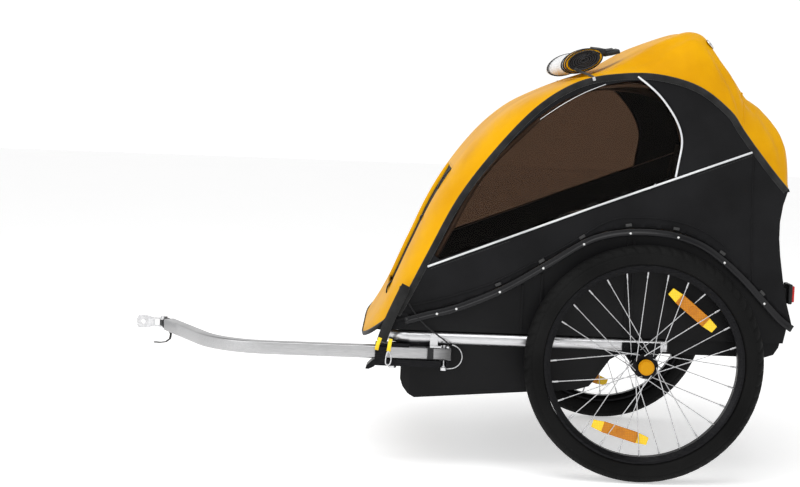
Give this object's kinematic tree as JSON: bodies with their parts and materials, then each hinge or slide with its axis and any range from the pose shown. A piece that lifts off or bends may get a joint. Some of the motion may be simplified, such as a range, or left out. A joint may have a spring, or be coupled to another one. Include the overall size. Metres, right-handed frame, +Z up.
{
  "type": "child bicycle trailer",
  "caption": "Folding bicycle trailer for seated children: moulded tub, cloth cover on a folding tube cage, spoked wheels and a side tow bar with a hitch.",
  "frame": {"origin": "on the ground under the middle of the outer box", "axes": "+Z up, -X towards the bicycle, -Y the left side with the tow bar"},
  "size_m": [1.4246, 0.77, 0.94],
  "materials": {
    "moulded_plastic": "fine grained black moulding",
    "aluminium_tube": "brushed, clear anodised",
    "black_plastic": "smooth satin black",
    "black_steel": "black powder coat",
    "plated_steel": "zinc plated",
    "white_rivet": "smooth white caps",
    "black_fabric": "coated woven polyester",
    "yellow_fabric": "coated woven polyester",
    "mesh_fabric": "open insect mesh",
    "smoke_vinyl": "clear film with a brown smoke tint",
    "webbing": "woven webbing",
    "white_tape": "reflective tape",
    "rolled_cover": "rolled clear film and yellow cloth",
    "grey_padding": "padded cloth",
    "red_button": "smooth",
    "yellow_button": "smooth",
    "tyre_rubber": "black rubber",
    "black_rim": "black anodised",
    "spoke_steel": "stainless wire",
    "amber_plastic": "faceted reflector lens",
    "red_lens": "faceted reflector lens",
    "connector_rubber": "hard elastomer",
    "yellow_cord": "elastic cord and plated hooks"
  },
  "bodies": {
    "chassis": {"tub": "moulded_plastic", "side_rails": "aluminium_tube", "front_cross_tube": "aluminium_tube", "rail_end_plugs": "black_plastic", "axle_beam": "aluminium_tube", "axle_brackets": "black_steel", "stub_axles": "plated_steel", "edge_rails": "black_plastic", "rail_rivets": "white_rivet", "cover_snaps": "black_plastic", "seat_base": "grey_padding", "seat_back": "grey_padding", "shoulder_straps": "webbing", "lap_straps": "webbing", "harness_buckles": "black_plastic", "cage_hinges": "black_steel", "cage_pins": "plated_steel", "canopy": "yellow_fabric", "front_screen": "mesh_fabric", "side_panels": "black_fabric", "side_windows": "smoke_vinyl", "rear_panel": "black_fabric", "seam_bindings": "webbing", "reflective_piping": "white_tape", "roof_grommet": "plated_steel", "rain_cover_roll": "rolled_cover", "roll_straps": "webbing", "front_straps": "webbing", "hem_hooks": "yellow_cord", "rear_reflector": "red_lens", "flag_socket": "black_plastic", "receiver": "black_plastic", "tow_pivot_bolt": "plated_steel", "tail_clamp": "plated_steel", "pin_lanyard": "black_plastic"},
    "side_hoops": {"hoop_left": "aluminium_tube", "hoop_right": "aluminium_tube", "hoop_crossbar": "aluminium_tube"},
    "roll_bar": {"roll_bar": "aluminium_tube", "hoop_saddles": "black_plastic"},
    "wheel_left": {"tyre_left": "tyre_rubber", "rim_left": "black_rim", "spokes_left": "spoke_steel", "hub_left": "black_plastic", "wheel_reflectors_left": "amber_plastic"},
    "wheel_right": {"tyre_right": "tyre_rubber", "rim_right": "black_rim", "spokes_right": "spoke_steel", "hub_right": "black_plastic", "wheel_reflectors_right": "amber_plastic"},
    "axle_button_left": {"axle_button_left": "yellow_button"},
    "axle_button_right": {"axle_button_right": "yellow_button"},
    "buckle_button_left": {"buckle_button_left": "red_button"},
    "buckle_button_right": {"buckle_button_right": "red_button"},
    "tow_bar": {"tow_bar": "aluminium_tube", "hitch_connector": "connector_rubber", "safety_strap": "webbing"},
    "retaining_pin": {"retaining_pin": "plated_steel"},
    "hitch": {"hitch_plate": "plated_steel"},
    "hitch_pin": {"hitch_pin": "plated_steel"}
  },
  "joints": [
    {"name": "wheel_left_spin", "type": "hinge", "parent": "chassis", "child": "wheel_left", "pos_m": [0.39534, -0.34, 0.248], "axis": [0, 1, 0], "continuous": true},
    {"name": "wheel_right_spin", "type": "hinge", "parent": "chassis", "child": "wheel_right", "pos_m": [0.39534, 0.34, 0.248], "axis": [0, 1, 0], "continuous": true},
    {"name": "axle_button_left_push", "type": "slide", "parent": "chassis", "child": "axle_button_left", "axis": [0, 1, 0], "range_m": [0, 0.005], "stiffness_N_per_m": 600},
    {"name": "axle_button_right_push", "type": "slide", "parent": "chassis", "child": "axle_button_right", "axis": [0, -1, 0], "range_m": [0, 0.005], "stiffness_N_per_m": 600},
    {"name": "cage_fold", "type": "hinge", "parent": "chassis", "child": "roll_bar", "pos_m": [0.65734, 0, 0.372], "axis": [0, -1, 0], "range_deg": [0, 75], "deforming": ["canopy", "front_screen", "side_panels", "side_windows", "rear_panel", "seam_bindings", "reflective_piping", "roof_grommet", "rain_cover_roll", "roll_straps", "seat_back", "shoulder_straps"]},
    {"name": "hoop_fold", "type": "hinge", "parent": "chassis", "child": "side_hoops", "pos_m": [-0.09966, 0, 0.332], "axis": [0, 1, 0], "range_deg": [0, 33.5]},
    {"name": "tow_bar_swing", "type": "hinge", "parent": "chassis", "child": "tow_bar", "pos_m": [-0.12466, -0.303, 0.249], "axis": [0, 0, 1], "range_deg": [-55, 0]},
    {"name": "retaining_pin_pull", "type": "slide", "parent": "tow_bar", "child": "retaining_pin", "axis": [0, 0, -1], "range_m": [0, 0.05]},
    {"name": "hitch_turn", "type": "hinge", "parent": "tow_bar", "child": "hitch", "pos_m": [-0.65034, -0.00278, 0.249], "axis": [0, 0, 1], "range_deg": [-40, 40]},
    {"name": "hitch_pin_pull", "type": "slide", "parent": "hitch", "child": "hitch_pin", "axis": [0, 0, 1], "range_m": [0, 0.03]},
    {"name": "buckle_button_left_push", "type": "slide", "parent": "chassis", "child": "buckle_button_left", "axis": [0, 0, -1], "range_m": [0, 0.0025], "stiffness_N_per_m": 500},
    {"name": "buckle_button_right_push", "type": "slide", "parent": "chassis", "child": "buckle_button_right", "axis": [0, 0, -1], "range_m": [0, 0.0025], "stiffness_N_per_m": 500}
  ],
  "couplings": [
    {"joint": "hoop_fold", "follows": "cage_fold", "ratio": 0.44667}
  ]
}
